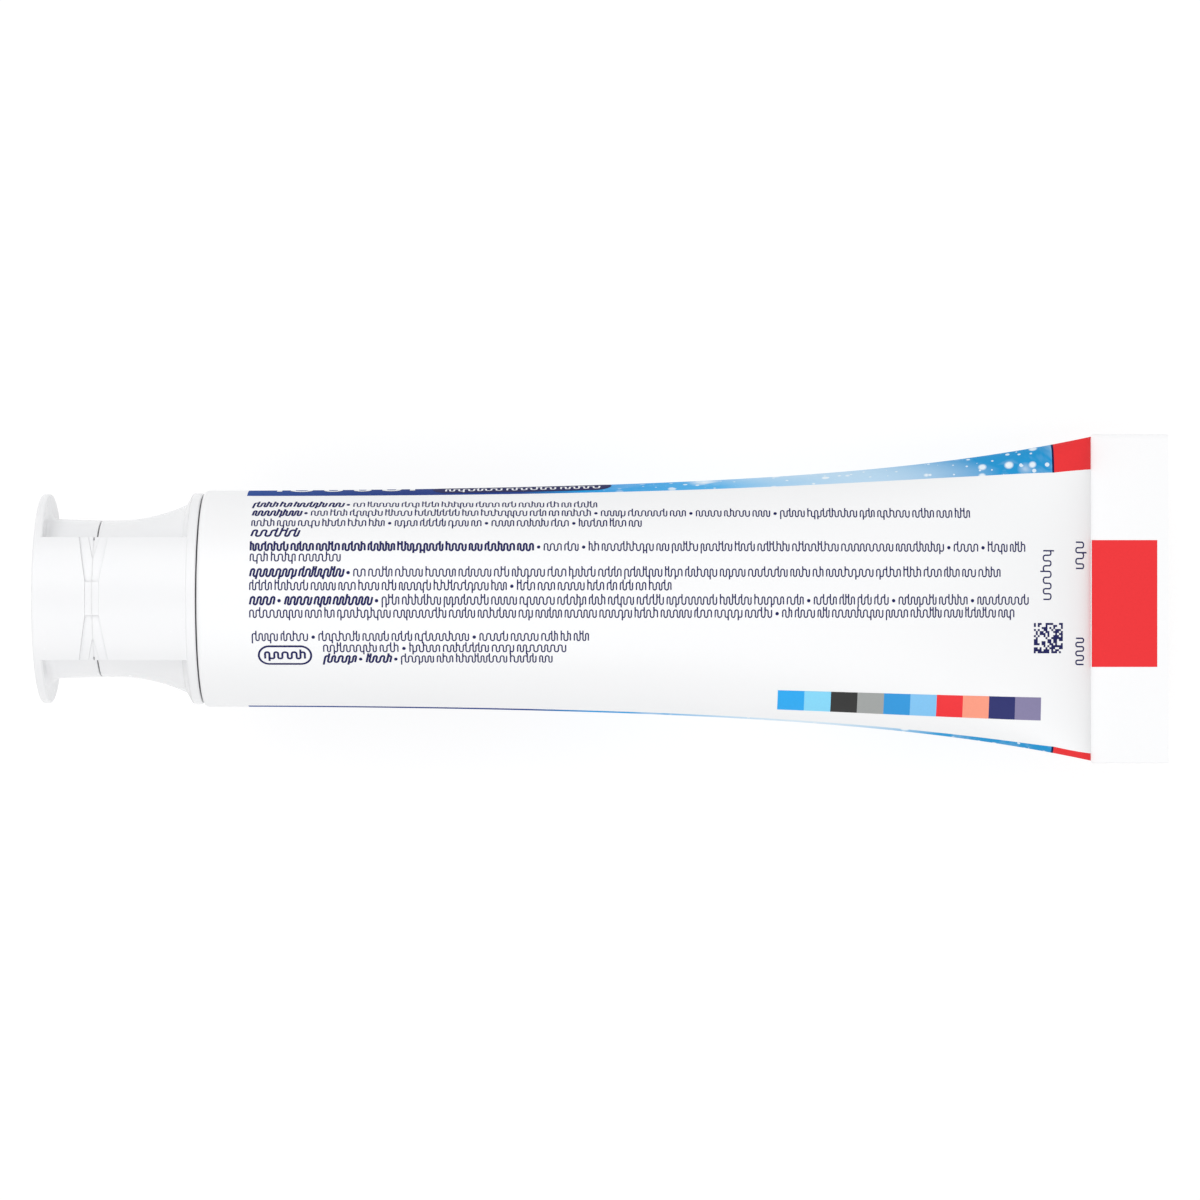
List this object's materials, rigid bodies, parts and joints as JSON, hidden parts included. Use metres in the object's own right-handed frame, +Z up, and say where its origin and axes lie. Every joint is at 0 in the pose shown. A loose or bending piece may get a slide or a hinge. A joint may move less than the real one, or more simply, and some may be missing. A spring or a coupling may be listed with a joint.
{
  "type": "toothpaste tube",
  "caption": "Soft laminate squeeze tube with a flat crimped tail and a white hourglass flip-top cap, lying on its front",
  "frame": {"origin": "on the surface that the tube lies on, under the middle of its length and width", "axes": "+X along the tube from the cap to the crimped tail, +Z up from the surface through the back label, +Y towards the label's top edge"},
  "size_m": [0.1674, 0.0492, 0.032],
  "materials": {
    "printed_laminate": "white laminate film with a satin gloss, printed in blue, navy and red",
    "shoulder_moulding": "natural white moulded plastic",
    "paste": "smooth white paste",
    "cap_moulding": "polished white moulded plastic"
  },
  "bodies": {
    "tube": {"tube_sleeve": "printed_laminate", "tube_shoulder": "shoulder_moulding", "toothpaste": "paste", "cap_base": "cap_moulding"},
    "lid": {"cap_lid": "cap_moulding"}
  },
  "joints": [
    {"name": "lid_hinge", "type": "hinge", "parent": "tube", "child": "lid", "pos_m": [-0.07491, 0, 0.03148], "axis": [0, 1, 0], "range_deg": [0, 160]}
  ]
}
